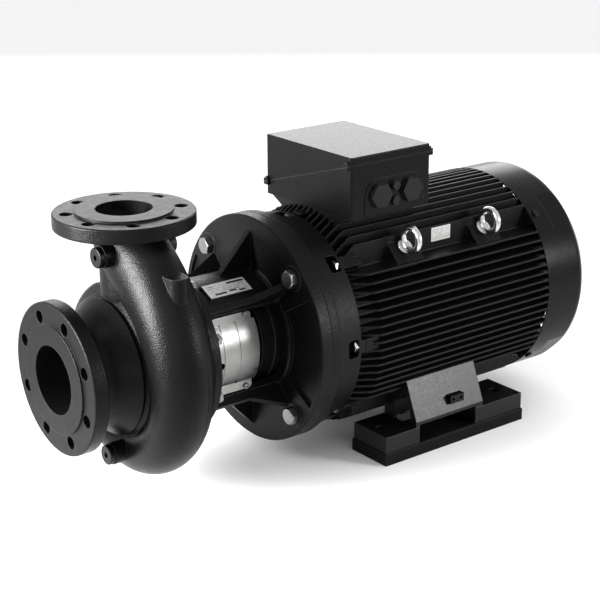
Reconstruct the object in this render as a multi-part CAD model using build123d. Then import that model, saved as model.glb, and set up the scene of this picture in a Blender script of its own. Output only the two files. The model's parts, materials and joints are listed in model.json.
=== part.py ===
from build123d import *
from math import cos, radians, sin, sqrt
import os

os.makedirs("parts", exist_ok=True)

# Close-coupled centrifugal pump with a flange-and-foot motor.
# +X runs along the shaft from the suction flange to the motor fan, +Z is up along
# the discharge axis and -Y is the side that the discharge neck leans to.
# The origin is the centre of the suction flange's bolting face.  Millimetres.

# Heights and the standard connections
SHAFT_HEIGHT = 180.0          # shaft centre above the motor's own feet (frame size 180)
SPACER_T = 20.0               # packing bars that bring the feet down to the floor
RAISED_FACE = 3.0
FLANGE_HOLES = 8
HOLE_CLEAR_R = 9.5            # 19 mm holes for M16 studs
SUCTION_BORE_R = 50.0         # DN100
SUCTION_FLANGE_R = 110.0
SUCTION_FACE_R = 79.0
SUCTION_PCD = 180.0
SUCTION_FLANGE_T = 22.0
DISCHARGE_X = 122.0           # DN80, 125 mm behind the suction raised face
DISCHARGE_Z = 222.0           # bolting face, raised face at 225 mm
DISCHARGE_BORE_R = 40.0
DISCHARGE_FLANGE_R = 100.0
DISCHARGE_FACE_R = 69.0
DISCHARGE_PCD = 160.0
DISCHARGE_FLANGE_T = 21.0

# Volute
CASING_WALL = 8.0
SCROLL_BASE_R = 97.0          # inner edge of the scroll passage
SCROLL_START = 42.0           # degrees from +Z towards +Y where the tongue lies
SCROLL_END = 283.0
PASSAGE_R_START = 11.0
PASSAGE_R_END = 38.0
CONE_END_X = 82.0
CONE_END_R = 101.0
CASING_REAR_X = 183.0
CASING_REAR_R = 124.5
COVER_BORE_R = 104.0
CHAMBER_R = 93.0
CHAMBER_X = (101.0, 152.0)
GAP = 0.15                    # play between nested pieces of one assembly
DRAIN = (66.0, -28.0, -121.0)
GAUGE_YZ = (-31.0, 173.0)     # the gauge taps share one line through the neck
GAUGE_X = (63.0, 170.5)
PLUG_BOSS_R = 16.0
PLUG_HEAD_R = 14.5
PLUG_SHANK_R = 8.0
NECK_BOSS_R = 14.5            # blind boss on the outside of the leaning neck
NECK_BOSS_Y = -130.0
NECK_BOSS_TOP = 158.0
CROTCH_R = 41.0               # solid metal between the neck and the top of the scroll
CROTCH_Y = -6.0

# Impeller
IMPELLER_R = 86.0
EYE_R = 44.0
OUTLET_X = (111.0, 133.0)
VANES = 6
WEAR_RING_R = 57.0

# Pump shaft and seal
PUMP_SHAFT_R = 14.0           # impeller seat
SEAL_SHAFT_R = 16.0
SLEEVE_R = 36.0               # stub shaft sleeve over the motor's shaft end
SLEEVE_X = (225.0, 343.0)
SEAL_FACE_X = 168.0           # the two seal faces meet here
COVER_X = CHAMBER_X[1] + 0.3
O_RING_X = 171.0
SET_SCREW_X = (262.0, 318.0)

# Motor stool (lantern between pump and motor)
STOOL_X = (183.3, 353.5)
STOOL_FLANGE_R = 175.0        # A350 motor flange
STOOL_FLANGE_T = 20.5
STOOL_SHELL_R = (86.0, 95.0)
STOOL_FRONT_R = 122.5
STOOL_BOLT_R = 150.0          # M16 on a 300 mm circle
STOOL_BOLT_ANGLE = 45.0
CASING_BOLT_R = 113.0
WINDOW_X = (201.0, 331.0)
WINDOW_HALF_ANGLE = 41.3
HUB_X = (298.0, 321.0)        # ring inside the stool, with one step
HUB_R = 79.6
PLATE_ANGLE = 66.0            # where the nameplate sits on the stool
GUARD_R = 83.6                # middle of the guard's sheet
GUARD_T = 1.5
GUARD_X = (199.0, 289.0)
GUARD_HALF_ANGLE = 34.0
GUARD_LIP_Y = 69.85
GUARD_LIP_Z = 59.6
GUARD_SCREW = (272.0, 55.5)   # x, height either side of the shaft

# Motor
FLANGE_FACE_X = 353.5
PILOT_R = 125.0
HOUSING_X = (413.0, 798.0)
BARREL_R = (137.0, 147.0)
FIN_TIP_R = 172.0
FIN_T = 2.9
FIN_PITCH = 12.2
TOP_FIN_PITCH = 12.5
SHAFT_END_LENGTH = 110.0
SHAFT_END_R = 24.0
JOURNAL_R = 25.0
BEARING_OUTER_R = 45.0        # 50 x 90 x 20 deep-groove bearings
BEARING_WIDTH = 20.0
DRIVE_BEARING_X = 372.0
REAR_BEARING_X = 782.0
BALL_R = 6.35
BALL_PITCH_R = 35.0
BALLS = 9
ROTOR_R = 74.2
STATOR_BORE_R = 75.0
CORE_X = (490.0, 730.0)
COWL_X = (799.0, 899.0)
COWL_R = 171.5
COWL_REAR_R = 150.0
COWL_T = 2.5
COWL_INNER_R = COWL_R - COWL_T
COWL_SCREW_X = 811.0
COWL_FLAT_HALF_ANGLE = 11.0   # the flats near the cowl's four corners
FAN_BORE_R = 22.0
FAN_DISC_X = 824.0
FAN_R = 150.0
MOTOR_KEY_X = (248.0, 340.0)
SHIELD_BOLT_R = 157.0
SHIELD_BOLTS = 8
SHIELD_SEAT_X = 408.0         # the bolt heads bear on this wall of their pockets
REAR_SHIELD_X = 798.2
REAR_BOLT_R = 142.0

# Terminal box
BOX_X = (442.0, 597.0)
BOX_Y = 103.0
BOX_BASE_Z = 171.0
BOX_TOP_Z = 265.0
SPLIT_Z_NEAR = 253.0
SPLIT_Z_FAR = 190.0
BOX_WALL = 5.0
PAD_FACE_Y = -BOX_Y - 1.5     # raised pad around the cable entries
PAD_EDGE_X = (469.0, 583.0)
PAD_TOP_Z = 227.0
BIG_PLUGS = ((497.0, 201.0), (557.0, 202.0))
BIG_PLUG_R = 12.0
SMALL_PLUGS = ((524.5, 213.0), (524.5, 190.0))
SMALL_PLUG_R = 6.0
EAR_REACH = 6.0               # ears at the ends of the joint between box and lid
EAR_Y = BOX_Y - 5.5
LID_SCREWS = [(x, y) for x in (BOX_X[0] - 3.2, BOX_X[1] + 3.2) for y in (-EAR_Y, EAR_Y)]
STUDS = [(x, y) for x in (-28, 0, 28) for y in (34, 62)]

# Feet
FOOT_X = (455.5, 741.5)
FOOT_Y = (99.0, 175.0)
FOOT_T = 26.0
PAD_X = (522.5, 640.5)        # the channel under the foot lies between the pads
CHANNEL_Z = -151.0            # roof of that channel
LEG_OUTER = ((-174.5, -146.0), (-149.5, -85.0))   # y, z of the leg's sloping outer face
FOOT_HOLE_X = (474.5, 715.5)  # 241 mm apart
FOOT_HOLE_Y = 139.5           # 279 mm apart
FOOT_HOLE_R = 7.5
LEG_X = (516.0, 656.0)
RAIL_Y = (84.0, 112.0)        # foot rails along the housing's lower corners
RAIL_Z = (-133.0, -108.0)
RAIL_X = (440.0, 784.0)
FOOT_BOLT_X = (546.0, 626.0)
FOOT_BOLT_Y = 104.5
EARTH_XZ = (600.0, -127.0)    # centre of the earth clamp on the near leg
EARTH_SIZE = (28.0, 13.0)
SPACER_RIM = 2.0              # the packing bars stand out this much around the feet

# Lifting eyes
EYE_X = (535.0, 698.0)
EYE_SEAT = 165.0              # distance of the eye seats from the shaft
EYE_RING_R = 17.5
EYE_BAR_R = 5.0

nodes = {}


def bar(radius, x0, x1, y=0.0, z=0.0):
    """Round bar along X."""
    return Pos((x0 + x1) / 2, y, z) * Rot(0, 90, 0) * Cylinder(radius, x1 - x0)


def post(radius, z0, z1, x=0.0, y=0.0):
    """Round bar along Z."""
    return Pos(x, y, (z0 + z1) / 2) * Cylinder(radius, z1 - z0)


def block(x, y, z):
    """Box from three (low, high) pairs."""
    centre = Pos(sum(x) / 2, sum(y) / 2, sum(z) / 2)
    return centre * Box(x[1] - x[0], y[1] - y[0], z[1] - z[0])


def bar_y(radius, y0, y1, x=0.0, z=0.0):
    """Round bar along Y."""
    return Pos(x, (y0 + y1) / 2, z) * Rot(90, 0, 0) * Cylinder(radius, y1 - y0)


def tube(outer, inner, x0, x1):
    """Ring about the shaft axis."""
    return bar(outer, x0, x1) - bar(inner, x0 - 1, x1 + 1)


def turned(points, rounds=0.0):
    """Solid of revolution about the shaft from (x, radius) points."""
    radii = rounds if isinstance(rounds, list) else [rounds] * len(points)
    outline = FilletPolyline(*points, radius=radii, close=True)
    return revolve(make_face(outline), Axis.X)


def at_angle(angle, shape):
    """Turns a shape about the shaft; 0 is the near side, -Y, and 90 is up."""
    return Rot(-angle, 0, 0) * shape


def around(count, shape, first=0.0):
    """Copies of a shape at even angles about the shaft."""
    return [at_angle(first + 360 * i / count, shape) for i in range(count)]


def hex_head(across_flats, x0, x1, y=0.0, z=0.0, socket=0.0):
    """Hexagonal head along X, with an optional hexagon socket in its -X end."""
    face = Plane.YZ * RegularPolygon(across_flats / 2, 6, major_radius=False)
    head = Pos(x0, y, z) * extrude(face, x1 - x0)
    depth = x1 - x0
    crown = Pos(x0, y, z) * turned_cone(across_flats * 0.48, across_flats * 0.62, across_flats * 0.12, depth)
    head = head & crown
    if socket:
        key = Plane.YZ * RegularPolygon(socket / 2, 6, major_radius=False)
        head -= Pos(x0 - 1, y, z) * extrude(key, (x1 - x0) * 0.6 + 1)
    return head


def turned_cone(r0, r1, x1, x2):
    """Cone from r0 to r1, then a plain length: the crown of a bolt head."""
    return turned([(0, 0), (0, r0), (x1, r1), (x2, r1), (x2, 0)])


def group(shapes):
    """One group of separate solids."""
    return Compound(children=[solid for shape in shapes for solid in shape.solids()])


def mirrored(shape):
    """The same piece at the near and far, upper and lower corners."""
    pair = [shape, shape.mirror(Plane.XY)]
    return pair + [piece.mirror(Plane.XZ) for piece in pair]


def keep(name, shape):
    nodes[name] = shape


# ---------------------------------------------------------------- volute casing

def scroll_point(angle, radius):
    """Point in the scroll's middle plane; the angle runs from +Z towards +Y."""
    return (DISCHARGE_X, radius * sin(radians(angle)), radius * cos(radians(angle)))


def passage(extra, top):
    """Flow passage: a growing scroll from the tongue, then the neck up to the discharge."""
    stations = 7
    sections = []
    for i in range(stations + 1):
        share = i / stations
        angle = SCROLL_START + (SCROLL_END - SCROLL_START) * share
        radius = PASSAGE_R_START + (PASSAGE_R_END - PASSAGE_R_START) * share ** 0.7
        centre = scroll_point(angle, SCROLL_BASE_R + radius)
        flow = (0, cos(radians(angle)), -sin(radians(angle)))
        sections.append(Plane(origin=centre, x_dir=(1, 0, 0), z_dir=flow) * Circle(radius + extra))
    # The neck swings back over the shaft: y, z, lean from vertical in degrees, radius and how
    # far the outside swells towards the crotch
    for y, z, lean, radius, swell in (
        (-100.0, 106.0, 36.0, 38.5, 5.0),
        (-50.0, 160.0, 42.0, 38.0, 13.0),
        (-4.0, 202.0, 14.0, 39.5, 4.0),
        (0.0, top, 0.0, DISCHARGE_BORE_R, 0.0),
    ):
        flow = (0, sin(radians(lean)), cos(radians(lean)))
        section = Plane(origin=(DISCHARGE_X, y, z), x_dir=(1, 0, 0), z_dir=flow)
        if extra and swell:
            outline = Pos(0, swell) * Ellipse(radius + extra, radius + extra + swell)
        else:
            outline = Circle(radius + extra)
        sections.append(section * outline)
    return loft(sections)


def flange_holes(pcd, count, radius, depth):
    """Drills along Z for a horizontal flange at the origin, straddling the axes."""
    step = 360 / count
    drill = Pos(pcd / 2, 0, 0) * Cylinder(radius, depth)
    return [Rot(0, 0, step * (i + 0.5)) * drill for i in range(count)]



def volute_casing():
    body = turned(
        [
            (-RAISED_FACE, 0), (-RAISED_FACE, SUCTION_FACE_R), (0, SUCTION_FACE_R),
            (0, SUCTION_FLANGE_R), (SUCTION_FLANGE_T, SUCTION_FLANGE_R), (SUCTION_FLANGE_T, 72),
            (46, 74), (CONE_END_X, CONE_END_R), (CONE_END_X + 4, 96), (92, 104),
            (96, 117), (160, 117), (CASING_REAR_X - 16, CASING_REAR_R),
            (CASING_REAR_X, CASING_REAR_R), (CASING_REAR_X, 0),
        ],
        [0, 1, 0, 2.5, 2.5, 7, 20, 2, 1.5, 3, 5, 4, 3, 2, 0],
    )
    flange = post(DISCHARGE_FLANGE_R, DISCHARGE_Z - DISCHARGE_FLANGE_T, DISCHARGE_Z, DISCHARGE_X)
    flange = fillet(flange.edges().filter_by(GeomType.CIRCLE), 2.5)
    raised = post(DISCHARGE_FACE_R, DISCHARGE_Z - 1, DISCHARGE_Z + RAISED_FACE, DISCHARGE_X)
    drain_x, drain_y, drain_z = DRAIN
    bosses = [
        bar(PLUG_BOSS_R, drain_x, drain_x + 40, drain_y, drain_z),
        bar(PLUG_BOSS_R, *GAUGE_X, *GAUGE_YZ),
        post(NECK_BOSS_R, 100, NECK_BOSS_TOP, DISCHARGE_X, NECK_BOSS_Y),
        block(
            (DISCHARGE_X - NECK_BOSS_R, DISCHARGE_X + NECK_BOSS_R),
            (NECK_BOSS_Y, NECK_BOSS_Y + 45), (110, NECK_BOSS_TOP),
        ),
        post(CROTCH_R, SCROLL_BASE_R + 6, 188, DISCHARGE_X, CROTCH_Y),
    ]
    body = body + [passage(CASING_WALL, DISCHARGE_Z - 2), flange, raised] + bosses

    inside = turned(
        [
            (-10, 0), (-10, SUCTION_BORE_R), (60, SUCTION_BORE_R), (86, WEAR_RING_R - 6),
            (86, WEAR_RING_R), (CHAMBER_X[0], WEAR_RING_R), (CHAMBER_X[0], CHAMBER_R),
            (CHAMBER_X[1], CHAMBER_R), (CHAMBER_X[1], COVER_BORE_R),
            (CASING_REAR_X + 1, COVER_BORE_R), (CASING_REAR_X + 1, 0),
        ]
    )
    ring_gap = tube(SCROLL_BASE_R + 6, CHAMBER_R - 1, 108, 140)
    above = Pos(DISCHARGE_X, 0, DISCHARGE_Z)
    drills = [above * d for d in flange_holes(DISCHARGE_PCD, FLANGE_HOLES, HOLE_CLEAR_R, 50)]
    drills += [Rot(0, 90, 0) * d for d in flange_holes(SUCTION_PCD, FLANGE_HOLES, HOLE_CLEAR_R, 60)]
    stud = bar(5.1, CASING_REAR_X - 22, CASING_REAR_X + 1, -CASING_BOLT_R)
    hollow = [inside, passage(0, DISCHARGE_Z + 5), ring_gap]
    taps = [
        bar(PLUG_SHANK_R + 0.05, drain_x - 1, drain_x + 30, drain_y, drain_z),
        bar(PLUG_SHANK_R + 0.05, GAUGE_X[0] - 1, GAUGE_X[1] + 1, *GAUGE_YZ),
    ]
    body = body - (hollow + drills + taps + around(8, stud, 22.5))
    return body


keep("volute_casing", volute_casing())


def plug(x, y, z, facing):
    """Round screw plug with a hexagon socket; facing is -1 or +1 along X."""
    head = turned([(-8, 0), (-8, PLUG_HEAD_R), (-0.05, PLUG_HEAD_R), (-0.05, 0)], [0, 1.5, 0, 0])
    shank = bar(PLUG_SHANK_R, -1, 14)
    key = Plane.YZ.offset(-9) * RegularPolygon(4.0, 6, major_radius=False)
    shape = head + shank - extrude(key, 7)
    turn = Rot(0, 0, 0) if facing < 0 else Rot(0, 0, 180)
    return Pos(x, y, z) * turn * shape


# ---------------------------------------------------------------- pump internals

def impeller():
    """Closed radial wheel: hub and back plate, vanes, front plate with the eye ring."""
    back = turned(
        [
            (107, PUMP_SHAFT_R + 0.05), (107, 21), (118, 25), (OUTLET_X[1], IMPELLER_R),
            (OUTLET_X[1] + 4, IMPELLER_R), (OUTLET_X[1] + 4, 30), (150, 25),
            (150, PUMP_SHAFT_R + 0.05),
        ],
        [0, 2, 8, 0, 0, 3, 1, 0],
    )
    front = turned(
        [
            (88.5, EYE_R), (88.5, EYE_R + 6), (102.5, EYE_R + 6), (OUTLET_X[0] - 4, IMPELLER_R),
            (OUTLET_X[0], IMPELLER_R), (104, EYE_R),
        ],
        [0.8, 0.8, 5, 0, 0, 6],
    )
    channel = turned(
        [
            (102, 27), (102, EYE_R + 2), (OUTLET_X[0] - 2, IMPELLER_R), (OUTLET_X[1] + 2, IMPELLER_R),
            (121, 27),
        ]
    )
    # Each vane is an arc from the eye to the rim that leans back against the rotation
    rim = IMPELLER_R + 2
    spine = ThreePointArc(
        (30, 0),
        (62 * cos(radians(28)), -62 * sin(radians(28))),
        (rim * cos(radians(76)), -rim * sin(radians(76))),
    )
    blade = extrude(Plane.YZ.offset(95) * trace(spine, line_width=3.6), 45)
    blades = [Rot(360 * i / VANES, 0, 0) * blade for i in range(VANES)]
    vanes = (blades[0] + blades[1:]) & channel
    keyway = block((105, 151), (-4.03, 4.03), (0, PUMP_SHAFT_R + 3.3))
    return back + [front, vanes] - keyway


def pump_shaft():
    """Stub shaft: nut thread, impeller seat, seal seat, then a sleeve over the motor shaft."""
    bore_r = SHAFT_END_R + 0.05
    shaft = turned(
        [
            (91, 0), (91, 8), (107, 8), (107, PUMP_SHAFT_R), (150.2, PUMP_SHAFT_R),
            (150.2, SEAL_SHAFT_R), (205, SEAL_SHAFT_R), (SLEEVE_X[0], SLEEVE_R),
            (SLEEVE_X[1], SLEEVE_R), (SLEEVE_X[1], bore_r), (240, bore_r), (240, 0),
        ],
        [0, 1, 0, 0.5, 0, 0.5, 8, 3, 1, 0, 0, 0],
    )
    impeller_slot = block((114, 143), (-4, 4), (PUMP_SHAFT_R - 4, PUMP_SHAFT_R + 5))
    motor_slot = block((238, SLEEVE_X[1] + 1), (-7.03, 7.03), (0, SHAFT_END_R + 3.9))
    groove = tube(SLEEVE_R + 1, SLEEVE_R - 1.5, 300, 303)
    taps = [bar_y(4.03, -SLEEVE_R - 1, SLEEVE_R + 1, x) for x in SET_SCREW_X]
    return shaft - ([impeller_slot, motor_slot, groove] + taps)


def set_screws():
    """Headless screws that clamp the stub shaft to the motor shaft, from both sides."""
    screw = bar_y(4.0, -SLEEVE_R + 0.6, -SHAFT_END_R - 0.05)
    key = extrude(Plane.XZ * RegularPolygon(2, 6, major_radius=False), 4, both=True)
    screw -= Pos(0, -SLEEVE_R, 0) * key
    return group([Pos(x, 0, 0) * at_angle(a, screw) for x in SET_SCREW_X for a in (0, 180)])


def pump_cover():
    """Casing cover that carries the fixed seal ring and closes the impeller chamber."""
    rim = COVER_BORE_R - GAP
    cover = turned(
        [
            (COVER_X, 40), (COVER_X, rim), (CASING_REAR_X, rim), (CASING_REAR_X, 84),
            (COVER_X + 12, 60), (COVER_X + 12, 44), (198, 38), (198, SEAL_SHAFT_R + 3),
            (190, SEAL_SHAFT_R + 3), (190, 31), (COVER_X + 3, 36),
        ],
        [2, 1, 0, 8, 8, 4, 1.5, 0, 0, 0, 0],
    )
    return cover - tube(COVER_BORE_R + 1, COVER_BORE_R - 3.2, O_RING_X - 0.2, O_RING_X + 4.2)


keep("gauge_plugs", group([plug(GAUGE_X[0], *GAUGE_YZ, -1), plug(GAUGE_X[1], *GAUGE_YZ, 1)]))
keep("drain_plug", plug(*DRAIN, -1))
keep("casing_wear_ring", tube(WEAR_RING_R - GAP, EYE_R + 6.08, 86.3, 97.5))
keep("impeller", impeller())
keep("impeller_key", block((114.2, 142.8), (-3.97, 3.97), (PUMP_SHAFT_R - 3.9, PUMP_SHAFT_R + 3)))
keep("impeller_washer", tube(15, 8.2, 104.2, 106.9))
keep("impeller_nut", hex_head(24, 92.5, 104.1) - bar(8.1, 90, 106))
keep("pump_shaft", pump_shaft())
keep("shaft_set_screws", set_screws())
keep("pump_cover", pump_cover())
keep("cover_o_ring", tube(COVER_BORE_R - 0.3, COVER_BORE_R - 3, O_RING_X, O_RING_X + 4))
keep("seal_rotating_head", tube(27, SEAL_SHAFT_R + 0.06, 152.5, SEAL_FACE_X - 0.1))
keep("seal_fixed_seat", tube(30.8, SEAL_SHAFT_R + 1.5, SEAL_FACE_X, 179))


# ---------------------------------------------------------------- motor stool and guard

def rib(angle, outline, thickness):
    """Flat rib in the plane of the shaft, from (x, radius) points, at an angle."""
    face = make_face(Polyline(*[(x, -r) for x, r in outline], close=True))
    return at_angle(angle, extrude(face, thickness / 2, both=True))


def sector(angle, half_angle, r0, r1, x0, x1):
    """Piece of a ring about the shaft, centred on an angle."""
    reach = 2 * r1
    spread = reach * sin(radians(half_angle)) / cos(radians(half_angle))
    wedge = make_face(Polyline((0, 0), (-reach, spread), (-reach, -spread), close=True))
    piece = (Circle(r1) - Circle(r0)) & wedge
    return at_angle(angle, extrude(Plane.YZ.offset(x0) * piece, x1 - x0))


def motor_stool():
    front, rear = STOOL_X
    inner, outer = STOOL_SHELL_R
    face = rear - STOOL_FLANGE_T
    register = PILOT_R + 0.1
    shell = turned(
        [
            (front, inner), (front, STOOL_FRONT_R), (front + 14, STOOL_FRONT_R), (front + 14, outer),
            (face, outer), (face, STOOL_FLANGE_R), (rear, STOOL_FLANGE_R), (rear, register),
            (rear - 6, register), (rear - 6, 66), (HUB_X[0], 66), (HUB_X[0], HUB_R - 1.6),
            (HUB_X[1], HUB_R - 1.6), (HUB_X[1], HUB_R), (WINDOW_X[1] + 4, HUB_R),
            (WINDOW_X[1] + 4, inner - 2), (311, inner - 2), (311, inner),
        ],
        [0, 2.5, 2.5, 6, 7, 2.5, 1, 0, 0, 1, 0.5, 0.5, 0, 0.5, 0, 0, 1, 0],
    )
    kinked = [(196, 88), (196, 108), (276, 108), (face + 1, 135), (face + 1, 88)]
    triangle = [(270, 90), (face + 1, 157), (face + 1, 90)]
    ribs = [rib(a, kinked, 9) for a in (45, 135, 225, 315)]
    ribs += [rib(a, triangle, 10) for a in (90, 270)]
    pads = around(4, bar(19, face - 1.5, face + 1, -STOOL_BOLT_R), STOOL_BOLT_ANGLE)
    plate_seat = at_angle(PLATE_ANGLE, block((226, 302), (-outer - 2, -88), (-16, 16)))
    body = shell + ribs + pads + [plate_seat]

    windows = [sector(a, WINDOW_HALF_ANGLE, inner - 6, outer + 9, *WINDOW_X) for a in (0, 180)]
    dishes = [sector(a, 30, outer + 5, 166, face - 5, face + 5) for a in (0, 180)]
    flange_bolt = bar(8.6, face - 4, rear + 1, -STOOL_BOLT_R)
    casing_bolt = bar(5.5, front - 1, front + 20, -CASING_BOLT_R)
    holes = around(4, flange_bolt, STOOL_BOLT_ANGLE) + around(8, casing_bolt, 22.5)
    body = body - (windows + dishes + holes)

    # Lugs at the window's corners take the guard screws
    screw_x, screw_z = GUARD_SCREW
    lug = block((screw_x - 9, screw_x + 9), (-GUARD_LIP_Y + 1, -56), (screw_z - 5.5, screw_z + 9))
    tap = bar_y(2.05, -GUARD_LIP_Y - 2, -54, screw_x, screw_z)
    return body + mirrored(lug) - mirrored(tap)


def coupling_guard():
    """Near-side sheet guard over the shaft coupling: an arc with two screwed lips."""
    inner_r = GUARD_R - GUARD_T / 2
    outer_r = GUARD_R + GUARD_T / 2
    arc = sector(0, GUARD_HALF_ANGLE, inner_r, outer_r, *GUARD_X)
    screw_x, screw_z = GUARD_SCREW
    lip_y = (-GUARD_LIP_Y - GUARD_T / 2, -GUARD_LIP_Y + GUARD_T / 2)
    lip = block((GUARD_X[0] + 14, GUARD_X[1] - 6), lip_y, (46.3, GUARD_LIP_Z))
    lip = fillet(lip.edges().filter_by(Axis.Y).group_by(Axis.Z)[-1], 6)
    lips = [lip, lip.mirror(Plane.XY)]
    beads = [tube(outer_r + 1, outer_r - 0.7, x - 1.1, x + 1.1) for x in (227, 255)]
    holes = [bar_y(2.4, -75, -60, screw_x, z) for z in (-screw_z, screw_z)]
    return arc + lips - (beads + holes + [bar_y(5, -95, -70, 223, -10)])


def guard_screws():
    """Slotted pan-head screws of both guards."""
    screw_x, screw_z = GUARD_SCREW
    seat = GUARD_LIP_Y + GUARD_T / 2 + 0.05
    shank = bar_y(2.0, -seat - 1, -58, screw_x, screw_z)
    head = bar_y(4.5, -seat - 3, -seat, screw_x, screw_z)
    head = fillet(head.edges().group_by(Axis.Y)[0], 1.2)
    slot = block((screw_x - 6, screw_x + 6), (-seat - 4, -seat - 1.6), (screw_z - 0.6, screw_z + 0.6))
    screw = shank + head - slot
    return group(mirrored(screw))


def hex_bolt(across_flats, head_x0, head_x1, shank_r, shank_x1, y=0.0, z=0.0):
    """Hexagon bolt along X, head towards -X."""
    shank = bar(shank_r, head_x1 - 0.5, shank_x1, y, z)
    return hex_head(across_flats, head_x0, head_x1, y, z) + shank


keep("motor_stool", motor_stool())
keep("coupling_guard_near", coupling_guard())
keep("coupling_guard_far", coupling_guard().mirror(Plane.XZ))
keep("guard_screws", guard_screws())
casing_bolt_head = STOOL_X[0] + 14.1
casing_bolt = hex_head(16, casing_bolt_head, casing_bolt_head + 6.5, -CASING_BOLT_R)
casing_bolt += bar(5.0, CASING_REAR_X - 20, casing_bolt_head + 1, -CASING_BOLT_R)
keep("casing_bolts", group(around(8, casing_bolt, 22.5)))
stool_face = STOOL_X[1] - STOOL_FLANGE_T - 1.6
flange_bolt = hex_bolt(24, stool_face - 10, stool_face, 8.0, FLANGE_FACE_X + 13, -STOOL_BOLT_R)
keep("stool_flange_bolts", group(around(4, flange_bolt, STOOL_BOLT_ANGLE)))
plate_y = -STOOL_SHELL_R[1] - 2.1
pump_plate = block((228, 300), (plate_y - 0.8, plate_y), (-14, 14))
keep("pump_nameplate", at_angle(PLATE_ANGLE, pump_plate))


# ---------------------------------------------------------------- motor shields and housing

def drive_end_shield():
    """Flanged end shield: motor flange, spigot and the drive-end bearing seat."""
    face = FLANGE_FACE_X
    bearing = DRIVE_BEARING_X
    bore = BEARING_OUTER_R + 0.02
    seam = HOUSING_X[0] - 0.2
    body = turned(
        [
            (face - 5, 28), (face - 5, PILOT_R), (face, PILOT_R), (face, STOOL_FLANGE_R),
            (face + 15.5, STOOL_FLANGE_R), (face + 15.5, 170), (face + 24, 169), (seam, 166),
            (seam, BARREL_R[0] - GAP), (seam + 10, BARREL_R[0] - GAP), (seam + 10, 128),
            (face + 40, 124), (face + 24, 108), (face + 24, 58), (bearing + 22, 56),
            (bearing + 22, bore), (bearing, bore), (bearing, 28),
        ],
        [0, 1, 0, 1, 2.5, 4, 6, 1, 0, 1, 4, 12, 10, 6, 1, 0, 0, 0],
    )
    pocket = block((SHIELD_SEAT_X - 21, SHIELD_SEAT_X), (-181, -146), (-14, 14))
    pocket = fillet(pocket.edges().filter_by(Axis.Y), 5)
    hole = bar(5.5, SHIELD_SEAT_X - 4, seam + 1, -SHIELD_BOLT_R)
    tap = bar(8.05, face - 1, face + 16, -STOOL_BOLT_R)
    cuts = around(SHIELD_BOLTS, pocket) + around(SHIELD_BOLTS, hole)
    return body - (cuts + around(4, tap, STOOL_BOLT_ANGLE))


def fin(height, reach, front_reach, x_taper):
    """Cooling fin in a horizontal plane: tip on the fin circle, tapered at the front."""
    x0, x1 = HOUSING_X
    outline = [(x0, 0), (x0, -front_reach), (x_taper, -reach), (x1, -reach), (x1, 0)]
    face = Pos(0, 0, height) * make_face(Polyline(*outline, close=True))
    return extrude(face, FIN_T / 2, both=True)


def half_chord(radius, offset):
    return sqrt(radius * radius - offset * offset)


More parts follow.
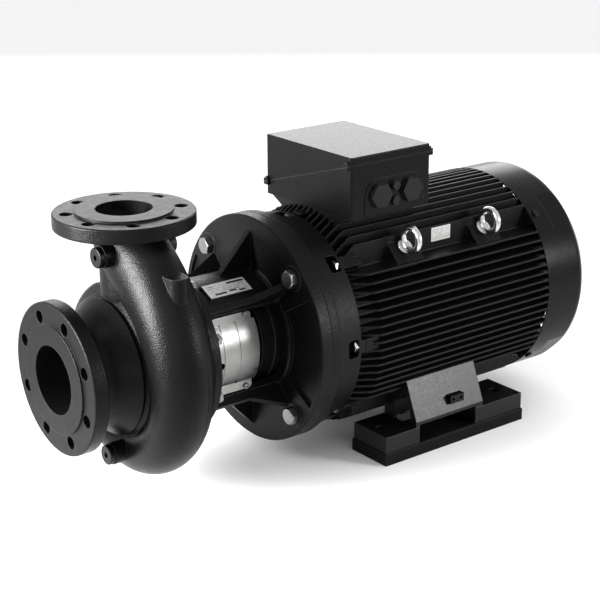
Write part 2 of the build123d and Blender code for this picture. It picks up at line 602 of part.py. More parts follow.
def stator_housing():
    """Finned cast frame with foot rails, eye bosses, bolt bosses and the box pedestal."""
    x0, x1 = HOUSING_X
    bore, skin = BARREL_R
    barrel = bar(skin, x0, x1)
    front_r = 152.0
    fins = []
    for i in range(-8, 9):
        z = i * FIN_PITCH
        reach = half_chord(FIN_TIP_R, z)
        side = fin(z, reach, half_chord(front_r, z), x0 + 34)
        fins += [side, side.mirror(Plane.XZ)]
    for i in range(9):
        y = (i + 0.5) * TOP_FIN_PITCH
        reach = half_chord(FIN_TIP_R, y)
        upright = Rot(-90, 0, 0) * fin(y, reach, half_chord(front_r, y), x0 + 34)
        fins += mirrored(upright) if y < RAIL_Y[0] else [upright, upright.mirror(Plane.XZ)]
    collar = tube(front_r, bore, x0, x0 + 7)
    rail = block(RAIL_X, (-RAIL_Y[1], -RAIL_Y[0]), RAIL_Z)
    rails = [rail, rail.mirror(Plane.XZ)]
    eye_boss = [at_angle(45, block((x - 25.5, x + 25.5), (-EYE_SEAT, -130), (-25, 25))) for x in EYE_X]
    eye_boss += [boss.mirror(Plane.XZ) for boss in eye_boss]
    bolt_boss = block((x0, x0 + 33), (-165, -140), (-9.5, 9.5))
    slot = block((x0 + 22, x0 + 34), (-166, -159), (-3.5, 3.5)) + block(
        (x0 + 7, x0 + 9), (-166, -163.4), (-10, 10)
    )
    bolt_bosses = around(SHIELD_BOLTS, bolt_boss - slot)
    pedestal_outline = [(-96, BOX_BASE_Z), (96, BOX_BASE_Z), (70, 158), (70, 120), (-70, 120), (-70, 158)]
    pedestal = extrude(
        Plane.YZ.offset(BOX_X[0] + 4) * make_face(Polyline(*pedestal_outline, close=True)),
        BOX_X[1] - BOX_X[0] - 8,
    )
    body = barrel + (fins + [collar, pedestal] + rails + eye_boss + bolt_bosses)

    cuts = [
        bar(bore, x0 - 1, x1 + 1),
        block((BOX_X[0] - 3, BOX_X[1] + 3), (-120, 120), (BOX_BASE_Z, 200)),
        post(28, 120, BOX_BASE_Z + 1, sum(BOX_X) / 2),
    ]
    cuts += around(SHIELD_BOLTS, bar(5.05, x0 - 1, x0 + 22, -SHIELD_BOLT_R))
    eye_tap = bar_y(5.05, -EYE_SEAT - 1, -EYE_SEAT + 18)
    eye_taps = [at_angle(45, Pos(x, 0, 0) * eye_tap) for x in EYE_X]
    cuts += eye_taps + [tap.mirror(Plane.XZ) for tap in eye_taps]
    foot_tap = [post(6.05, RAIL_Z[0] - 1, RAIL_Z[0] + 20, x, -FOOT_BOLT_Y) for x in FOOT_BOLT_X]
    cuts += foot_tap + [tap.mirror(Plane.XZ) for tap in foot_tap]
    cuts += around(8, bar(4.05, x1 - 20, x1 + 1, -REAR_BOLT_R), 22.5)
    # The lower side fins stop short of the leg that stands in front of them
    room = [(-180, -84.3), (-143.5, -84.3), (-112.1, -116.2), (-112.1, -150), (-180, -150)]
    leg_room = extrude(
        Plane.YZ.offset(LEG_X[0] - 1) * make_face(Polyline(*room, close=True)), LEG_X[1] - LEG_X[0] + 2
    )
    cuts += [leg_room, leg_room.mirror(Plane.XZ)]
    return body - cuts


def rear_end_shield():
    """Rear end shield with the bearing seat and four lugs for the fan cowl."""
    x = REAR_SHIELD_X
    bearing = REAR_BEARING_X
    shoulder = bearing + BEARING_WIDTH + 0.2
    bore = BEARING_OUTER_R + 0.02
    body = turned(
        [
            (bearing - 4, bore), (bearing - 4, 56), (x - 7, 60), (x - 5, 118), (x - 8, 128),
            (x - 8, BARREL_R[0] - GAP), (x, BARREL_R[0] - GAP), (x, 147), (x + 8, 147),
            (x + 8, 62), (x + 13, 50), (x + 13, 27.5), (shoulder, 27.5), (shoulder, bore),
        ],
        [0, 1, 6, 6, 1, 1, 0, 1, 2, 8, 3, 0, 0, 0],
    )
    lugs = around(4, block((x + 1, x + 22), (-COWL_INNER_R + 0.8, -140), (-11, 11)), 45)
    holes = around(8, bar(4.5, x - 1, x + 9, -REAR_BOLT_R), 22.5)
    taps = around(4, bar_y(3.05, -COWL_R, -155, COWL_SCREW_X), 45)
    return body + lugs - (holes + taps)


def bearing_ring(x0, r_in, r_out):
    """Bearing race ring with its ball groove."""
    ring = tube(r_out, r_in, x0, x0 + BEARING_WIDTH)
    middle = x0 + BEARING_WIDTH / 2
    groove = revolve(Plane.XY * Pos(middle, BALL_PITCH_R) * Circle(BALL_R + 0.15), Axis.X)
    return ring - groove


def ball_set(x0):
    """Balls held by their cage."""
    middle = x0 + BEARING_WIDTH / 2
    cage = tube(BALL_PITCH_R + 1.4, BALL_PITCH_R - 1.4, middle - 7, middle + 7)
    balls = around(BALLS, Pos(middle, -BALL_PITCH_R, 0) * Sphere(BALL_R))
    return cage + balls


def keep_bearing(name, x0):
    keep(f"{name}_bearing_outer_ring", bearing_ring(x0 + 0.05, BALL_PITCH_R + 3.2, BEARING_OUTER_R))
    keep(f"{name}_bearing_inner_ring", bearing_ring(x0 + 0.05, JOURNAL_R + 0.02, BALL_PITCH_R - 3.2))
    keep(f"{name}_bearing_balls", ball_set(x0 + 0.05))


def motor_shaft():
    rear = REAR_BEARING_X
    shaft = turned(
        [
            (FLANGE_FACE_X - SHAFT_END_LENGTH, 0), (FLANGE_FACE_X - SHAFT_END_LENGTH, SHAFT_END_R),
            (FLANGE_FACE_X, SHAFT_END_R), (FLANGE_FACE_X, JOURNAL_R),
            (DRIVE_BEARING_X + BEARING_WIDTH + 1, JOURNAL_R),
            (DRIVE_BEARING_X + BEARING_WIDTH + 1, 28), (rear - 1, 28), (rear - 1, JOURNAL_R),
            (rear + BEARING_WIDTH + 3, JOURNAL_R), (rear + BEARING_WIDTH + 3, FAN_BORE_R),
            (868, FAN_BORE_R), (868, 0),
        ],
        [0, 1.5, 0, 0, 0, 0, 0, 0, 0, 0, 1.5, 0],
    )
    return shaft - block((MOTOR_KEY_X[0] - 0.1, MOTOR_KEY_X[1] + 0.1), (-7, 7), (18.5, 30))


def cooling_fan():
    """Radial fan: hub, back disc and straight blades, so it works in both directions."""
    hub = tube(31, FAN_BORE_R + 0.03, 816, 860)
    disc = tube(FAN_R - 3, 30, FAN_DISC_X, FAN_DISC_X + 3)
    blade = block((FAN_DISC_X + 2, 858), (-FAN_R, -29), (-1.4, 1.4))
    return hub + ([disc] + around(8, blade))


def fan_cowl():
    """Pressed sheet cowl with flats near its rear corners and a slotted air inlet."""
    x0, x1 = COWL_X
    def shell(offset):
        radius = COWL_R - offset
        rear = x1 - offset
        drum = turned(
            [(x0, 0), (x0, radius), (rear - 24, radius), (rear, COWL_REAR_R - offset * 0.6), (rear, 0)],
            [0, 0, 18, 8, 0],
        )
        flat = block((x0 + 36, x1 + 1), (-200, -radius * cos(radians(COWL_FLAT_HALF_ANGLE))), (-60, 60))
        return drum - around(4, flat, 45)
    sheet = shell(0) - Pos(-0.01, 0, 0) * shell(COWL_T)
    slots = []
    for row in range(5):
        inner = 34.0 + 22.0 * row
        count = 4 + 2 * row
        for i in range(count):
            half = 180 / count - 150 / inner
            slots.append(sector(360 * (i + 0.5) / count, half, inner, inner + 15, x1 - 6, x1 + 1))
    screws = around(4, bar_y(3.4, -COWL_R - 4, -COWL_INNER_R + 6, COWL_SCREW_X), 45)
    return sheet - (slots + screws)


def cowl_screws():
    seat = COWL_R + 0.05
    screw = bar_y(3.0, -seat - 1, -158, COWL_SCREW_X)
    head = Pos(COWL_SCREW_X, 0, 0) * bar_y(6, -seat - 3, -seat)
    head = fillet(head.edges().group_by(Axis.Y)[0], 1.4)
    return group(around(4, screw + head, 45))


keep("drive_end_shield", drive_end_shield())
keep("stator_housing", stator_housing())
keep("rear_end_shield", rear_end_shield())
shield_bolt_x = SHIELD_SEAT_X - 0.1
shield_bolt = hex_bolt(16, shield_bolt_x - 6.4, shield_bolt_x, 5.0, HOUSING_X[0] + 18, -SHIELD_BOLT_R)
keep("drive_shield_bolts", group(around(SHIELD_BOLTS, shield_bolt)))
rear_x = REAR_SHIELD_X + 8.1
rear_bolt = bar(4.0, HOUSING_X[1] - 16, rear_x + 1, -REAR_BOLT_R)
rear_bolt += hex_head(13, rear_x, rear_x + 5.3, -REAR_BOLT_R)
keep("rear_shield_bolts", group(around(8, rear_bolt, 22.5)))
keep_bearing("drive", DRIVE_BEARING_X)
keep_bearing("rear", REAR_BEARING_X)
keep("shaft_v_ring", tube(33, SHAFT_END_R + 0.05, FLANGE_FACE_X - 10, FLANGE_FACE_X - 5.4))
keep("motor_shaft", motor_shaft())
keep("coupling_key", block(MOTOR_KEY_X, (-6.97, 6.97), (18.6, SHAFT_END_R + 3.5)))
keep("rotor_core", tube(ROTOR_R, 28.05, *CORE_X))
keep("rotor_end_rings", group([
    tube(ROTOR_R - 1, 46, CORE_X[0] - 14, CORE_X[0] - 0.1),
    tube(ROTOR_R - 1, 46, CORE_X[1] + 0.1, CORE_X[1] + 14),
]))
keep("stator_core", tube(BARREL_R[0] - GAP, STATOR_BORE_R, *CORE_X))
overhang = [(0.2, 84), (0.2, 120), (38, 118), (42, 100), (38, 84)]
winding = turned([(CORE_X[1] + x, r) for x, r in overhang], [0, 0, 8, 8, 8])
keep("stator_windings", group([winding, winding.mirror(Plane.YZ.offset(sum(CORE_X) / 2))]))
keep("cooling_fan", cooling_fan())
keep("fan_cowl", fan_cowl())
keep("cowl_screws", cowl_screws())


# ---------------------------------------------------------------- terminal box

def split_z(y):
    """Height of the slanting joint between box and lid."""
    share = (y + BOX_Y) / (2 * BOX_Y)
    return SPLIT_Z_NEAR + (SPLIT_Z_FAR - SPLIT_Z_NEAR) * share


def box_half(z_near, z_far, top):
    """Part of the box outline below (or above) a slanting plane."""
    x0, x1 = BOX_X
    body = block((x0, x1), (-BOX_Y, BOX_Y), (BOX_BASE_Z + 0.2, BOX_TOP_Z))
    body = fillet(body.edges().filter_by(Axis.Z), 4)
    body = fillet(body.edges().group_by(Axis.Z)[-1], 1.5)
    cavity = block(
        (x0 + BOX_WALL, x1 - BOX_WALL), (-BOX_Y + BOX_WALL, BOX_Y - BOX_WALL),
        (BOX_BASE_Z + BOX_WALL, BOX_TOP_Z - BOX_WALL + 1),
    )
    reach = BOX_Y + 10
    slope = (z_far - z_near) / (2 * BOX_Y)
    ends = [(-reach, z_near - slope * 10), (reach, z_far + slope * 10)]
    limit = 400 if top else 100
    outline = ends + [(reach, limit), (-reach, limit)]
    keep_region = extrude(
        Plane.YZ.offset(x0 - 10) * make_face(Polyline(*outline, close=True)), x1 - x0 + 20
    )
    ears = [
        block((x0 - EAR_REACH, x1 + EAR_REACH), (y - 5, y + 5), (split_z(y) - 5, split_z(y) + 5))
        for y in (-EAR_Y, EAR_Y)
    ]
    screw_ways = [post(1.55, BOX_BASE_Z, BOX_TOP_Z, x, y) for x, y in LID_SCREWS]
    return (body + ears - ([cavity] + screw_ways)) & keep_region


def terminal_box():
    base = box_half(SPLIT_Z_NEAR - 0.6, SPLIT_Z_FAR - 0.6, False)
    foot_z = BOX_BASE_Z + 3
    arch = make_face(FilletPolyline(
        (PAD_EDGE_X[0], foot_z), (PAD_EDGE_X[0], PAD_TOP_Z), (PAD_EDGE_X[1], PAD_TOP_Z),
        (PAD_EDGE_X[1], foot_z), radius=[0, 26, 26, 0], close=True,
    ))
    pad = extrude(Plane.XZ.offset(BOX_Y - 1) * arch, 1 - PAD_FACE_Y - BOX_Y)
    cable_way = post(26, BOX_BASE_Z - 1, BOX_BASE_Z + 20, sum(BOX_X) / 2)
    entries = [bar_y(BIG_PLUG_R + 0.05, PAD_FACE_Y - 1, -BOX_Y + 8, x, z) for x, z in BIG_PLUGS]
    entries += [bar_y(SMALL_PLUG_R + 0.05, PAD_FACE_Y - 1, -BOX_Y + 8, x, z) for x, z in SMALL_PLUGS]
    return base + pad - (entries + [cable_way])


def lid_gasket():
    """Flat seal that follows the slanting joint."""
    upper = box_half(SPLIT_Z_NEAR - 0.5, SPLIT_Z_FAR - 0.5, True)
    return upper & box_half(SPLIT_Z_NEAR + 0.5, SPLIT_Z_FAR + 0.5, False)


def lid_screws():
    """Cheese-head screws, down through the lid's ears into the box's ears."""
    found = []
    for x, y in LID_SCREWS:
        seat = split_z(y) + 5.05
        key = Pos(x, y, seat + 1) * extrude(RegularPolygon(1.2, 6, major_radius=False), 3)
        found.append(post(2.7, seat, seat + 2.8, x, y) + post(1.5, seat - 11, seat + 1, x, y) - key)
    return group(found)


def blanking_plugs(places, thread_r, across_flats, head_t):
    """Screw plugs with hexagon heads that close unused cable entries."""
    found = []
    for x, z in places:
        seat = PAD_FACE_Y - 0.05
        collar = bar_y(across_flats * 0.56, seat - 1.6, seat, x, z)
        hexagon = Plane.XZ * RegularPolygon(across_flats / 2, 6, major_radius=False)
        head = Pos(x, seat - 1.5, z) * extrude(hexagon, head_t)
        found.append(collar + head + bar_y(thread_r, seat - 1, seat + 8, x, z))
    return group(found)


def terminal_board():
    """Moulded board; six studs carry the winding ends."""
    centre = sum(BOX_X) / 2
    base_z = BOX_BASE_Z + BOX_WALL + 0.2
    board = block((centre - 42, centre + 42), (20, 76), (base_z, base_z + 10))
    walls = [
        block((centre + x - 1.5, centre + x + 1.5), (20, 76), (base_z + 9, base_z + 18))
        for x in (-14, 14)
    ]
    holes = [post(3.05, base_z - 1, base_z + 11, centre + x, y) for x, y in STUDS]
    return board + walls - holes


def terminal_studs():
    centre = sum(BOX_X) / 2
    base_z = BOX_BASE_Z + BOX_WALL + 0.2
    found = []
    for x, y in STUDS:
        nut = Pos(centre + x, y, base_z + 10.1) * extrude(RegularPolygon(5, 6, major_radius=False), 5)
        found.append(nut + post(3, base_z + 1, base_z + 24, centre + x, y))
    return group(found)


keep("terminal_box", terminal_box())
keep("terminal_box_lid", box_half(SPLIT_Z_NEAR + 0.6, SPLIT_Z_FAR + 0.6, True))
keep("terminal_box_gasket", lid_gasket())
keep("terminal_lid_screws", lid_screws())
keep("large_blanking_plugs", blanking_plugs(BIG_PLUGS, BIG_PLUG_R, 34, 5))
keep("small_blanking_plugs", blanking_plugs(SMALL_PLUGS, SMALL_PLUG_R, 13, 5))
keep("terminal_board", terminal_board())
keep("terminal_studs", terminal_studs())


# ---------------------------------------------------------------- eyes, plates and feet

def eyebolt(x):
    """Lifting eyebolt: shank, collar and ring, standing out at 45 degrees."""
    seat = EYE_SEAT + 0.05
    ring_y = -seat - 22.5
    ring = Pos(x, ring_y, 0) * Rot(0, 90, 0) * Torus(EYE_RING_R, EYE_BAR_R)
    collar = bar_y(12.5, -seat - 5, -seat, x)
    collar = fillet(collar.edges(), 1.2)
    neck = Pos(x, 0, 0) * bar_y(7, ring_y + EYE_RING_R - 2, -seat - 4)
    shank = bar_y(5, -seat - 1, -seat + 15, x)
    return at_angle(45, collar + [ring, neck, shank])


def foot():
    """Near-side motor foot: two pads joined by a hollow leg that reaches up to the rail."""
    x0, x1 = FOOT_X
    y_in, y_out = FOOT_Y
    bottom = -SHAFT_HEIGHT
    top = bottom + FOOT_T
    front_pad = block((x0, PAD_X[0]), (-y_out, -y_in), (bottom, top))
    rear_pad = block((PAD_X[1], x1), (-y_out, -y_in), (bottom, top))
    rail_y = RAIL_Y[1] + 0.2
    rail_z = RAIL_Z[0] - 0.2
    outline = [
        (LEG_OUTER[0][0], top - 2), *LEG_OUTER, (LEG_OUTER[1][0] + 5.5, LEG_OUTER[1][1]),
        (-rail_y, -117), (-rail_y, rail_z), (-y_in - 1, rail_z), (-y_in - 1, top - 2),
    ]
    leg = extrude(
        Plane.YZ.offset(LEG_X[0]) * make_face(Polyline(*outline, close=True)), LEG_X[1] - LEG_X[0]
    )
    arch = make_face(FilletPolyline(
        (-167, top - 4), (-148, -104), (-126, -124), (-121, top - 4), radius=3, close=True
    ))
    tunnel = extrude(Plane.YZ.offset(LEG_X[0] - 1) * arch, LEG_X[1] - LEG_X[0] + 2)
    bolt_holes = [post(6.5, bottom, rail_z + 1, x, -FOOT_BOLT_Y) for x in FOOT_BOLT_X]
    holes = [post(FOOT_HOLE_R, bottom - 1, top + 1, x, -FOOT_HOLE_Y) for x in FOOT_HOLE_X]
    channel = block(PAD_X, (-y_out - 1, -y_in + 2), (bottom - 1, CHANNEL_Z))
    return front_pad + [rear_pad, leg] - ([tunnel, channel] + bolt_holes + holes)


def spacer():
    """Packing bar under one foot."""
    x0, x1 = FOOT_X
    floor = -SHAFT_HEIGHT - SPACER_T
    bar_body = block(
        (x0 - SPACER_RIM, x1 + SPACER_RIM), (-FOOT_Y[1] - SPACER_RIM, -FOOT_Y[0] + SPACER_RIM),
        (floor, -SHAFT_HEIGHT - 0.1),
    )
    bar_body = chamfer(bar_body.edges().group_by(Axis.Z)[-1], 1.6)
    holes = [post(FOOT_HOLE_R, floor - 1, floor + 30, x, -FOOT_HOLE_Y) for x in FOOT_HOLE_X]
    return bar_body - holes


def foot_bolts():
    """Hexagon bolts, from the roof of the channel up into the housing rail."""
    seat = CHANNEL_Z - 0.1
    found = []
    for x in FOOT_BOLT_X:
        head = Pos(x, -FOOT_BOLT_Y, seat - 7.5) * extrude(RegularPolygon(9, 6, major_radius=False), 7.5)
        found.append(head + post(6, seat - 1, RAIL_Z[0] + 16, x, -FOOT_BOLT_Y))
    return group(found + [bolt.mirror(Plane.XZ) for bolt in found])


def earth_terminal():
    """Clamp block with two screw holes, seated on the sloping face of the near leg."""
    (y_low, z_low), (y_high, z_high) = LEG_OUTER
    slope = (y_high - y_low) / (z_high - z_low)
    x, z = EARTH_XZ
    low, high = z - EARTH_SIZE[1] / 2, z + EARTH_SIZE[1] / 2
    leg_y = [y_low + slope * (level - z_low) - 0.2 for level in (low - 1, high + 1)]
    front = leg_y[0] - 5
    half = EARTH_SIZE[0] / 2
    body = block((x - half, x + half), (front, leg_y[1] + 4), (low, high))
    holes = [bar_y(2.6, front - 1, front + 6, x + side * half * 0.58, z) for side in (-1, 1)]
    behind = make_face(Polyline(
        (leg_y[0], low - 1), (leg_y[1], high + 1), (leg_y[1] + 20, high + 1), (leg_y[1] + 20, low - 1),
        close=True,
    ))
    return body - (holes + [extrude(Plane.YZ.offset(x - half - 1) * behind, 2 * half + 2)])


near_eyes = [eyebolt(x) for x in EYE_X]
keep("eyebolts", group(near_eyes + [eye.mirror(Plane.XZ) for eye in near_eyes]))
wall_y = -8.5 * TOP_FIN_PITCH - FIN_T / 2 - 0.05
keep("rating_plate", block((598, 637), (wall_y - 0.8, wall_y), (111, 133)))
keep("foot_near", foot())
keep("foot_far", foot().mirror(Plane.XZ))
keep("spacer_near", spacer())
keep("spacer_far", spacer().mirror(Plane.XZ))
keep("foot_bolts", foot_bolts())
keep("earth_terminal", earth_terminal())

for name, shape in nodes.items():
    export_step(shape, f"parts/{name}.step")
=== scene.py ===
import json
from math import radians

import bpy
from mathutils import Matrix, Vector


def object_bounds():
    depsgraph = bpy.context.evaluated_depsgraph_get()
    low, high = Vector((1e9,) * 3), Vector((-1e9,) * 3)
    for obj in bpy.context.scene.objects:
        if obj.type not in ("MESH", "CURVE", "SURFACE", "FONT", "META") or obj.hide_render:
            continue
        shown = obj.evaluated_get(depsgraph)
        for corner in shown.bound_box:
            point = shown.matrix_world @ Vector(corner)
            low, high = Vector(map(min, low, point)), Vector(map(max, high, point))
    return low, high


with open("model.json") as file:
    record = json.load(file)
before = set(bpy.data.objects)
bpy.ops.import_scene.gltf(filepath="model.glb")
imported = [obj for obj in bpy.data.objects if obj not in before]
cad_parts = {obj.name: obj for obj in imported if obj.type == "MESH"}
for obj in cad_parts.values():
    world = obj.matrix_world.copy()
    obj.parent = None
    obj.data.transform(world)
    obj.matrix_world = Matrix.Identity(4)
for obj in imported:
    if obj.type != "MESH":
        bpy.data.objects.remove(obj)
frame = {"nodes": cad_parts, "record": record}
cad_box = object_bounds()
nodes = frame["nodes"]

# ---------------------------------------------------------------- camera and studio
CAMERA_PLACE = (-0.908, -1.736, 0.787)
CAMERA_YAW = 52.43            # degrees from +X towards +Y
CAMERA_PITCH = 19.20          # degrees below level
CAMERA_ROLL = -0.29
CAMERA_LENS = 90.4            # mm on a 36 mm sensor
FLOOR_SIZE = 60.0
WORLD_STRENGTH = 0.97
MIDDLE = (0.42, 0.0, 0.05)    # where a panel points when nothing else is said
# Light panels: name, place, width, height, watts, what it points at, spread in degrees
PANELS = (
    ("back_panel", (2.3, 2.4, 1.1), 3.2, 1.2, 44.0, MIDDLE, 180.0),
    ("left_panel", (-0.95, 0.25, 0.36), 0.66, 0.60, 20.0, (0.1, 0.0, 0.24), 70.0),
    ("leg_panel", (1.96, -1.99, 0.57), 0.7, 0.5, 2.6, (0.58, -0.16, -0.12), 40.0),
)


def add_camera():
    camera = bpy.data.objects.new("camera", bpy.data.cameras.new("camera"))
    camera.data.lens = CAMERA_LENS
    camera.data.sensor_width = 36.0
    turn = Matrix.Rotation(radians(CAMERA_YAW - 90.0), 4, "Z")
    tilt = Matrix.Rotation(radians(90.0 - CAMERA_PITCH), 4, "X")
    roll = Matrix.Rotation(radians(CAMERA_ROLL), 4, "Z")
    camera.matrix_world = Matrix.Translation(CAMERA_PLACE) @ turn @ tilt @ roll
    bpy.context.scene.collection.objects.link(camera)
    bpy.context.scene.camera = camera


def add_panel(name, place, width, height, power, target, spread):
    """Soft light panel that faces its target and stays out of the camera's view."""
    light = bpy.data.lights.new(name, "AREA")
    light.shape = "RECTANGLE"
    light.size = width
    light.size_y = height
    light.energy = power
    light.spread = radians(spread)
    panel = bpy.data.objects.new(name, light)
    panel.location = place
    panel.rotation_euler = (Vector(target) - Vector(place)).to_track_quat("-Z", "Y").to_euler()
    panel.visible_camera = False
    bpy.context.scene.collection.objects.link(panel)


def add_world(strength):
    world = bpy.data.worlds.new("studio")
    world.use_nodes = True
    background = world.node_tree.nodes["Background"]
    background.inputs["Color"].default_value = (1.0, 1.0, 1.0, 1.0)
    background.inputs["Strength"].default_value = strength
    bpy.context.scene.world = world


# ---------------------------------------------------------------- materials
class Look:
    """One node material: a Principled shader and short names for what feeds it."""

    def __init__(self, name, roughness, metallic=0.0, specular=0.5):
        self.material = bpy.data.materials.new(name)
        self.material.use_nodes = True
        self.tree = self.material.node_tree
        self.shader = self.tree.nodes["Principled BSDF"]
        self.shader.inputs["Roughness"].default_value = roughness
        self.shader.inputs["Metallic"].default_value = metallic
        self.shader.inputs["Specular IOR Level"].default_value = specular
        self.place = self.add("ShaderNodeTexCoord").outputs["Object"]

    def add(self, kind, **settings):
        node = self.tree.nodes.new(kind)
        for key, value in settings.items():
            setattr(node, key, value)
        return node

    def feed(self, socket, value):
        """Links an output to a socket, or sets the socket's number or colour."""
        if isinstance(value, bpy.types.NodeSocket):
            self.tree.links.new(value, socket)
        else:
            socket.default_value = value

    def moved(self, rotate=(0.0, 0.0, 0.0), stretch=(1.0, 1.0, 1.0)):
        """The object's coordinates after a turn and a stretch."""
        node = self.add("ShaderNodeMapping")
        self.feed(node.inputs["Vector"], self.place)
        node.inputs["Rotation"].default_value = rotate
        node.inputs["Scale"].default_value = stretch
        return node.outputs["Vector"]

    def noise(self, scale, detail=2.0, place=None, rough=0.5):
        node = self.add("ShaderNodeTexNoise")
        self.feed(node.inputs["Vector"], place or self.place)
        node.inputs["Scale"].default_value = scale
        node.inputs["Detail"].default_value = detail
        node.inputs["Roughness"].default_value = rough
        return node.outputs["Fac"]

    def span(self, value, low, high, start, end):
        """Maps low..high to start..end and holds it there."""
        node = self.add("ShaderNodeMapRange")
        self.feed(node.inputs["Value"], value)
        for socket, number in zip(("From Min", "From Max", "To Min", "To Max"), (low, high, start, end)):
            node.inputs[socket].default_value = number
        return node.outputs["Result"]

    def math(self, operation, a, b=0.0):
        node = self.add("ShaderNodeMath", operation=operation)
        self.feed(node.inputs[0], a)
        self.feed(node.inputs[1], b)
        return node.outputs["Value"]

    def mix(self, share, a, b):
        """Colour a where share is 0 and b where it is 1."""
        node = self.add("ShaderNodeMix", data_type="RGBA")
        self.feed(node.inputs["Factor"], share)
        self.feed(node.inputs["A"], a if isinstance(a, bpy.types.NodeSocket) else (*a, 1.0))
        self.feed(node.inputs["B"], b if isinstance(b, bpy.types.NodeSocket) else (*b, 1.0))
        return node.outputs["Result"]

    def rounded(self, radius):
        """Surface normal with the sharp edges rounded over."""
        node = self.add("ShaderNodeBevel", samples=4)
        node.inputs["Radius"].default_value = radius
        return node.outputs["Normal"]

    def edges(self, rounded):
        """1 along sharp edges and 0 on open surfaces."""
        flat = self.add("ShaderNodeNewGeometry").outputs["Normal"]
        node = self.add("ShaderNodeVectorMath", operation="DOT_PRODUCT")
        self.feed(node.inputs[0], rounded)
        self.feed(node.inputs[1], flat)
        return self.span(node.outputs["Value"], 0.995, 0.82, 0.0, 1.0)

    def axes(self, place=None):
        """The three coordinates apart."""
        split = self.add("ShaderNodeSeparateXYZ")
        self.feed(split.inputs["Vector"], place or self.place)
        return split.outputs["X"], split.outputs["Y"], split.outputs["Z"]

    def seam(self, x):
        """0 on the thin parting line of the casting, low on the plane at x, and 1 elsewhere."""
        along, _, height = self.axes()
        apart = self.math("ABSOLUTE", self.math("SUBTRACT", along, x))
        line = self.span(apart, 0.0003, 0.0008, 0.0, 1.0)
        return self.math("MAXIMUM", line, self.span(height, 0.01, 0.05, 0.0, 1.0))

    def box_mask(self, u, v, left, right, low, high):
        """1 inside a rectangle of the plane u, v and 0 outside it."""
        inside = 1.0
        for value, start, end in ((u, left, right), (v, low, high)):
            inside = self.math("MULTIPLY", inside, self.math("GREATER_THAN", value, start))
            inside = self.math("MULTIPLY", inside, self.math("LESS_THAN", value, end))
        return inside

    def bump(self, height, depth, normal=None):
        node = self.add("ShaderNodeBump")
        node.inputs["Strength"].default_value = 1.0
        node.inputs["Distance"].default_value = depth
        self.feed(node.inputs["Height"], height)
        if normal is not None:
            self.feed(node.inputs["Normal"], normal)
        return node.outputs["Normal"]

    def finish(self, colour, roughness=None, normal=None):
        for name, value in (("Base Color", colour), ("Roughness", roughness), ("Normal", normal)):
            if value is not None:
                self.feed(self.shader.inputs[name], value)
        return self.material


def enamel(name, tone, gloss, grain, peel, edge=0.0016, edge_wear_and_highlight_tone=0.05, seam_x=None, shine=0.09,
           mottle=0.035):
    """Black enamel: the grain of the casting below, faint orange peel, and edges lightened to a pale grey
    that is partly paint worn thin and partly a painted highlight.
    """
    look = Look(name, gloss, specular=shine)
    rounded = look.rounded(edge)
    clouds = look.noise(9.0, 4.0)
    fine = look.noise(GRAIN_SCALE, 1.5)
    coarse = look.noise(90.0, 2.0)
    colour = look.mix(look.span(clouds, 0.35, 0.65, 0.0, 1.0), tone, tuple(c * 1.3 for c in tone))
    # Painted highlight along the sharp edges, together with paint worn thin there: the edges are lightened
    # towards a pale grey.
    edge_wear_and_highlight = look.math("MULTIPLY", look.edges(rounded), look.span(fine, 0.40, 0.60, 0.2, 1.0))
    colour = look.mix(edge_wear_and_highlight, colour, (edge_wear_and_highlight_tone,) * 3)
    rough = look.math("ADD", look.span(coarse, 0.3, 0.7, gloss - mottle, gloss + mottle),
                      look.span(fine, 0.3, 0.7, -0.04, 0.04))
    if seam_x is not None:
        line = look.seam(seam_x)
        look.feed(look.shader.inputs["Specular IOR Level"], look.math("MULTIPLY", line, shine))
        colour = look.mix(line, (0.0, 0.0, 0.0), colour)
    normal = look.bump(coarse, peel, rounded)
    normal = look.bump(fine, grain, normal)
    return look.finish(colour, rough, normal)


def plated(name, tone, gloss, edge=0.0008):
    """Plated metal: slight clouding, fine machining marks and rounded corners."""
    look = Look(name, gloss, metallic=1.0)
    rounded = look.rounded(edge)
    clouds = look.noise(120.0, 3.0)
    fine = look.noise(1500.0, 2.0)
    colour = look.mix(look.span(clouds, 0.3, 0.7, 0.0, 1.0), tone, tuple(c * 0.78 for c in tone))
    rough = look.span(fine, 0.3, 0.7, gloss - 0.06, gloss + 0.08)
    return look.finish(colour, rough, look.bump(fine, 0.00003, rounded))


def brushed(name, tone, gloss, stretch):
    """Sheet or ground steel with fine marks, drawn out into lines by the stretch."""
    look = Look(name, gloss, metallic=1.0)
    rounded = look.rounded(0.0006)
    lines = look.noise(60.0, 5.0, look.moved(stretch=stretch), 0.65)
    clouds = look.noise(25.0, 3.0)
    colour = look.mix(look.span(clouds, 0.35, 0.65, 0.0, 1.0), tone, tuple(c * 0.86 for c in tone))
    rough = look.span(lines, 0.3, 0.7, gloss - 0.07, gloss + 0.10)
    return look.finish(colour, rough, look.bump(lines, 0.00004, rounded))


def cast_bare(name, tone, gloss):
    """Machined or raw grey iron."""
    look = Look(name, gloss, metallic=0.7)
    pits = look.noise(400.0, 3.0)
    clouds = look.noise(30.0, 3.0)
    colour = look.mix(clouds, tone, tuple(c * 0.6 for c in tone))
    return look.finish(colour, look.span(pits, 0.3, 0.7, gloss - 0.1, gloss + 0.1), look.bump(pits, 0.0001))


def moulded(name, tone, gloss, texture=0.00006):
    """Moulded plastic or rubber with a fine matt texture."""
    look = Look(name, gloss, specular=0.15)
    rounded = look.rounded(0.0008)
    fine = look.noise(900.0, 2.0)
    clouds = look.noise(40.0, 3.0)
    colour = look.mix(look.span(clouds, 0.35, 0.65, 0.0, 1.0), tone, tuple(c * 1.25 + 0.002 for c in tone))
    rough = look.span(fine, 0.3, 0.7, gloss - 0.06, gloss + 0.06)
    return look.finish(colour, rough, look.bump(fine, texture, rounded))


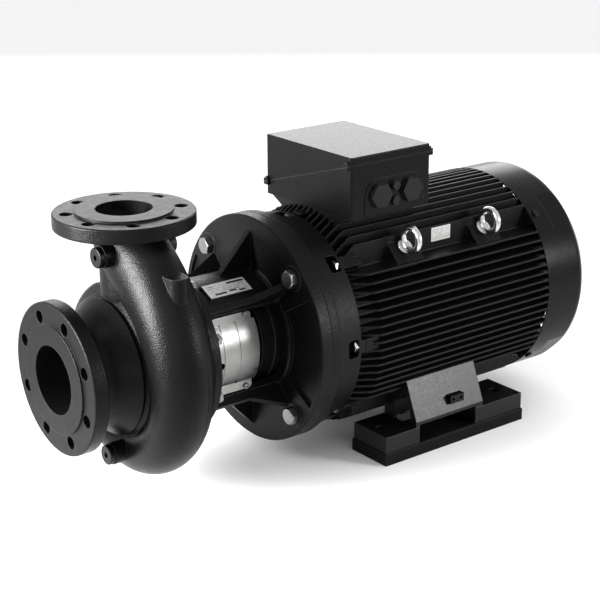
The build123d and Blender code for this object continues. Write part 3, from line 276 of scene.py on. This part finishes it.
def stacked_sheet(name):
    """Edges of a stack of thin electrical sheets."""
    look = Look(name, 0.45, metallic=0.9)
    layers = look.noise(1.0, 1.0, look.moved(stretch=(900.0, 2.0, 2.0)))
    colour = look.mix(layers, (0.30, 0.30, 0.32), (0.12, 0.12, 0.13))
    return look.finish(colour, look.span(layers, 0.3, 0.7, 0.35, 0.6), look.bump(layers, 0.0002))


def wound_copper(name):
    """Varnished copper wire wound round the stator ends."""
    look = Look(name, 0.35, metallic=0.8)
    strands = look.noise(1.0, 2.0, look.moved(stretch=(700.0, 60.0, 60.0)))
    colour = look.mix(strands, (0.42, 0.16, 0.06), (0.62, 0.28, 0.12))
    return look.finish(colour, look.span(strands, 0.3, 0.7, 0.25, 0.5), look.bump(strands, 0.0006))


def printed_plate(name, tilt, corner, size, bars, rows):
    """Aluminium plate printed like an empty form: solid bars and rows of specks, no lettering."""
    look = Look(name, 0.34, metallic=0.35)
    place = look.moved(rotate=(radians(tilt), 0.0, 0.0))
    along, _, across = look.axes(place)
    u = look.math("DIVIDE", look.math("SUBTRACT", along, corner[0]), size[0])
    v = look.math("DIVIDE", look.math("SUBTRACT", across, corner[1]), size[1])
    row = look.math("FRACT", look.math("MULTIPLY", v, rows))
    specks = look.noise(620.0, 1.0, place)
    printed_rows = look.box_mask(row, row, 0.25, 1.0, 0.0, 0.75)
    marks = look.math("MULTIPLY", look.span(specks, 0.50, 0.55, 0.0, 0.85), printed_rows)
    marks = look.math("MULTIPLY", marks, look.box_mask(u, v, 0.05, 0.95, 0.08, 0.92))
    for bar in bars:
        marks = look.math("MAXIMUM", marks, look.box_mask(u, v, *bar))
    speck = look.noise(900.0, 2.0)
    ground = look.mix(look.span(speck, 0.35, 0.65, 0.0, 1.0), (0.56, 0.56, 0.55), (0.45, 0.45, 0.44))
    colour = look.mix(marks, ground, (0.01, 0.01, 0.01))
    return look.finish(colour, look.span(speck, 0.3, 0.7, 0.28, 0.42), look.bump(speck, 0.00002))


def floor_look():
    look = Look("floor_paper", 0.7, specular=0.2)
    clouds = look.noise(1.5, 3.0)
    return look.finish(look.mix(clouds, (0.93, 0.93, 0.93), (0.95, 0.95, 0.95)))


# Nameplate on the stool: its turn about the shaft, its lower corner, its size, its rows of
# specks and its bars as left, right, low and high shares of the plate
NAMEPLATE_TILT = 66.0
NAMEPLATE_CORNER = (0.228, -0.014)
NAMEPLATE_SIZE = (0.072, 0.028)
NAMEPLATE_ROWS = 7.0
NAMEPLATE_BARS = (
    (0.56, 0.97, 0.76, 0.90),
    (0.14, 0.42, 0.12, 0.26),
    (0.50, 0.66, 0.18, 0.31),
    (0.72, 0.86, 0.08, 0.20),
)
# Rating plate on the motor: its lower corner, its size and its rows of specks
RATING_CORNER = (0.598, 0.111)
RATING_SIZE = (0.039, 0.022)
RATING_ROWS = 9.0
CASTING_SEAM_X = 0.137        # parting line of the volute casing
GRAIN_SCALE = 480.0           # grain of the cast surfaces
BLACK = (0.0030, 0.0030, 0.0031)
LOOKS = {
    "pump_paint": enamel("pump_enamel", BLACK, 0.36, 0.00045, 0.00025),
    "motor_paint": enamel("motor_enamel", BLACK, 0.40, 0.00045, 0.0002),
    "box_paint": enamel("box_enamel", BLACK, 0.28, 0.00003, 0.00001, edge=0.0010, mottle=0.01),
    "cowl_paint": enamel("cowl_enamel", BLACK, 0.24, 0.00003, 0.00002, mottle=0.015),
    "foot_paint": enamel("foot_enamel", BLACK, 0.34, 0.00004, 0.00001, shine=0.20, mottle=0.01),
    "spacer_paint": enamel("spacer_primer", BLACK, 0.50, 0.0002, 0.0001, shine=0.06),
    "guard_steel": brushed("guard_sheet", (0.27, 0.27, 0.265), 0.32, (1.0, 1.0, 1.0)),
    "zinc_steel": plated("zinc_plate", (0.24, 0.24, 0.24), 0.34),
    "black_steel": plated("blackened_steel", (0.022, 0.022, 0.023), 0.40),
    "eye_zinc": plated("eye_zinc_plate", (0.62, 0.62, 0.61), 0.20),
    "shaft_steel": brushed("ground_steel", (0.45, 0.45, 0.46), 0.28, (20.0, 1.0, 1.0)),
    "cast_iron_bare": cast_bare("bare_iron", (0.20, 0.19, 0.18), 0.5),
    "core_steel": stacked_sheet("core_sheets"),
    "rotor_aluminium": cast_bare("cast_aluminium", (0.65, 0.65, 0.66), 0.45),
    "winding_copper": wound_copper("copper_wire"),
    "terminal_brass": plated("brass_studs", (0.72, 0.52, 0.22), 0.25),
    "plate_aluminium": printed_plate("rating_print", 0.0, RATING_CORNER, RATING_SIZE, (), RATING_ROWS),
    "plug_plastic": moulded("plug_polyamide", (0.004, 0.004, 0.004), 0.42),
    "board_plastic": moulded("board_resin", (0.22, 0.17, 0.12), 0.35),
    "fan_plastic": moulded("fan_polypropylene", (0.010, 0.010, 0.011), 0.5),
    "seal_rubber": moulded("seal_rubber", (0.004, 0.004, 0.004), 0.6),
    "seal_carbon": moulded("seal_carbon", (0.010, 0.010, 0.011), 0.4),
}


def dress(node, material):
    mesh = nodes[node].data
    mesh.materials.clear()
    mesh.materials.append(material)


for entry in frame["record"]["subparts"]:
    dress(entry["node"], LOOKS[entry["material_slot"]])
dress("pump_nameplate", printed_plate("nameplate_print", NAMEPLATE_TILT, NAMEPLATE_CORNER,
                                      NAMEPLATE_SIZE, NAMEPLATE_BARS, NAMEPLATE_ROWS))
dress("volute_casing", enamel("casing_enamel", BLACK, 0.34, 0.00045, 0.00025, seam_x=CASTING_SEAM_X))

# ---------------------------------------------------------------- floor, lights, camera
low_z = cad_box[0][2]
ground = bpy.data.meshes.new("floor")
half = FLOOR_SIZE / 2
ground.from_pydata([(-half, -half, low_z), (half, -half, low_z), (half, half, low_z), (-half, half, low_z)],
                   [], [(0, 1, 2, 3)])
floor = bpy.data.objects.new("floor", ground)
bpy.context.scene.collection.objects.link(floor)
ground.materials.append(floor_look())

add_camera()
add_world(WORLD_STRENGTH)
for panel in PANELS:
    add_panel(*panel)
bpy.context.scene.view_settings.view_transform = "Standard"
